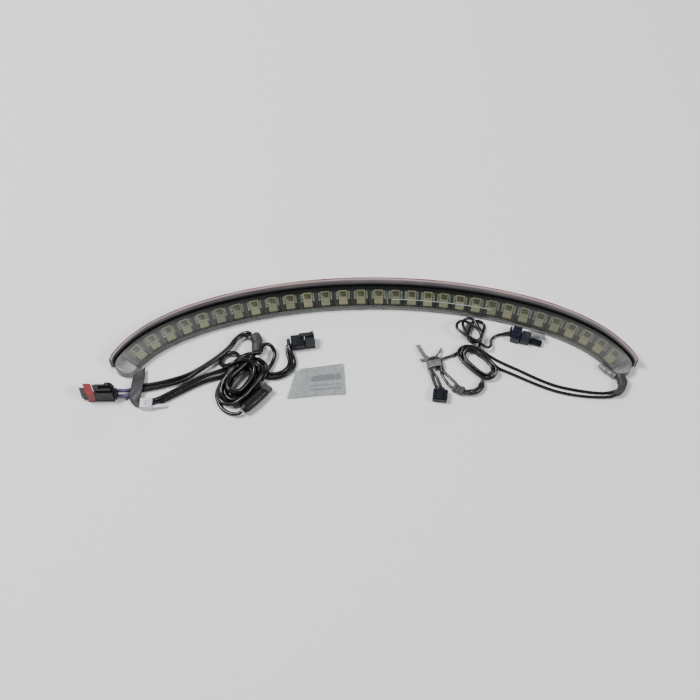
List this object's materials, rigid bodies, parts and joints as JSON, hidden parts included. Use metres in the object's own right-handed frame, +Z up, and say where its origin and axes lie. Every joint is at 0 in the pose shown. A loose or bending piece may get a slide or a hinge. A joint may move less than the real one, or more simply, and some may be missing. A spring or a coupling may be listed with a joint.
{
  "type": "led light bar",
  "caption": "Curved flexible strip lamp with a milky lens, a self-adhesive rail and a wired connector harness at each end.",
  "frame": {"origin": "centre of the bar's bounding box, on the surface that its rail lies on (harness left out)", "axes": "+X along the bar towards its right end, +Y from the hollow side of the curve to the adhesive outer side, +Z up out of the lens"},
  "size_m": [0.2201, 0.0609, 0.0089],
  "materials": {
    "lens": "milky translucent moulded plastic, lightly glossy, with a rounded upper edge",
    "rail": "thin black coated metal carrier",
    "foam_tape": "closed-cell foam mounting tape, gray-mauve",
    "liner": "pinkish red film release liner",
    "board": "populated flexible circuit board, gray-white solder mask, tinned pads",
    "adhesive": "thin double-sided adhesive sheet",
    "lamps": "cream lamp housings with darker olive phosphor windows",
    "potting": "clear silicone end sealing",
    "gray_sleeve": "gray heat-shrink sleeve",
    "black_sleeve": "black heat-shrink sleeve",
    "nylon": "natural white nylon",
    "violet_wire": "violet wire insulation",
    "black_wire": "glossy black wire insulation",
    "gray_wire": "gray wire insulation",
    "plug_gray": "dark gray-green moulded connector plastic",
    "nose_gray": "mid gray moulded connector plastic",
    "red_lock": "red moulded secondary lock",
    "contact": "plated terminals",
    "navy": "very dark blue moulded plastic",
    "socket_gray": "blue-gray moulded plastic",
    "seal": "soft wire seal",
    "violet_plug": "dark violet translucent moulded plastic",
    "label": "pale gray-white coated paper label, plain printed rules"
  },
  "bodies": {
    "bar": {"lens_cover": "lens", "carrier_rail": "rail", "mounting_tape": "foam_tape", "release_liner": "liner", "left_circuit_board": "board", "right_circuit_board": "board", "board_adhesive": "adhesive", "left_led_row": "lamps", "right_led_row": "lamps", "left_end_potting": "potting", "right_end_potting": "potting", "left_lead_sleeve": "gray_sleeve", "left_cable_tie": "nylon", "left_feed_a": "violet_wire", "left_feed_b": "violet_wire", "left_lead_a": "black_wire", "left_lead_b": "black_wire", "left_out_a": "black_wire", "left_out_b": "black_wire", "left_link_right": "black_wire", "left_link_left": "black_wire", "left_link_tail": "black_wire", "left_hank": "black_wire", "left_gray_splice": "gray_sleeve", "left_black_splice": "black_sleeve", "left_plug_body": "plug_gray", "left_plug_nose": "nose_gray", "left_plug_contact_0": "contact", "left_plug_contact_1": "contact", "left_plug_seal": "seal", "left_socket_body": "navy", "left_socket_shroud": "socket_gray", "left_socket_contact_0": "contact", "left_socket_contact_1": "contact", "left_socket_seal": "seal", "flag_label": "label", "right_lead_sleeve": "gray_sleeve", "right_lead_a": "black_wire", "right_lead_b": "black_wire", "right_pigtail": "black_wire", "right_out": "gray_wire", "right_hank": "black_wire", "right_fan": "gray_wire", "right_jacket": "black_sleeve", "right_ferrule": "gray_sleeve", "right_core_a": "gray_wire", "right_core_b": "gray_wire", "right_drop_a": "gray_wire", "right_drop_b": "gray_wire", "right_twist_tie": "gray_sleeve", "right_plug_body": "violet_plug", "right_plug_shroud": "socket_gray", "right_plug_cap": "navy", "right_plug_seal": "seal", "right_socket_body": "navy", "right_socket_seal": "seal"},
    "plug_lock": {"left_plug_lock": "red_lock"},
    "plug_latch": {"left_plug_latch": "plug_gray"},
    "socket_latch": {"left_socket_latch": "socket_gray"},
    "right_latch": {"right_socket_latch": "navy"}
  },
  "joints": [
    {"name": "plug_lock_slide", "type": "slide", "parent": "bar", "child": "plug_lock", "axis": [-1, 0, 0], "range_m": [0, 0.0015]},
    {"name": "plug_latch_press", "type": "hinge", "parent": "bar", "child": "plug_latch", "pos_m": [-0.1085, -0.029, 0.0071], "axis": [0, 1, 0], "range_deg": [0, 5], "stiffness_Nm_per_rad": 0.02},
    {"name": "socket_latch_press", "type": "hinge", "parent": "bar", "child": "socket_latch", "pos_m": [-0.0298, -0.00498, 0.00515], "axis": [-0.1392, 0.9903, 0], "range_deg": [0, 4], "stiffness_Nm_per_rad": 0.02},
    {"name": "right_latch_press", "type": "hinge", "parent": "bar", "child": "right_latch", "pos_m": [0.02569, -0.03248, 0.00375], "axis": [0.9903, -0.1392, 0], "range_deg": [-3, 0], "stiffness_Nm_per_rad": 0.02}
  ]
}
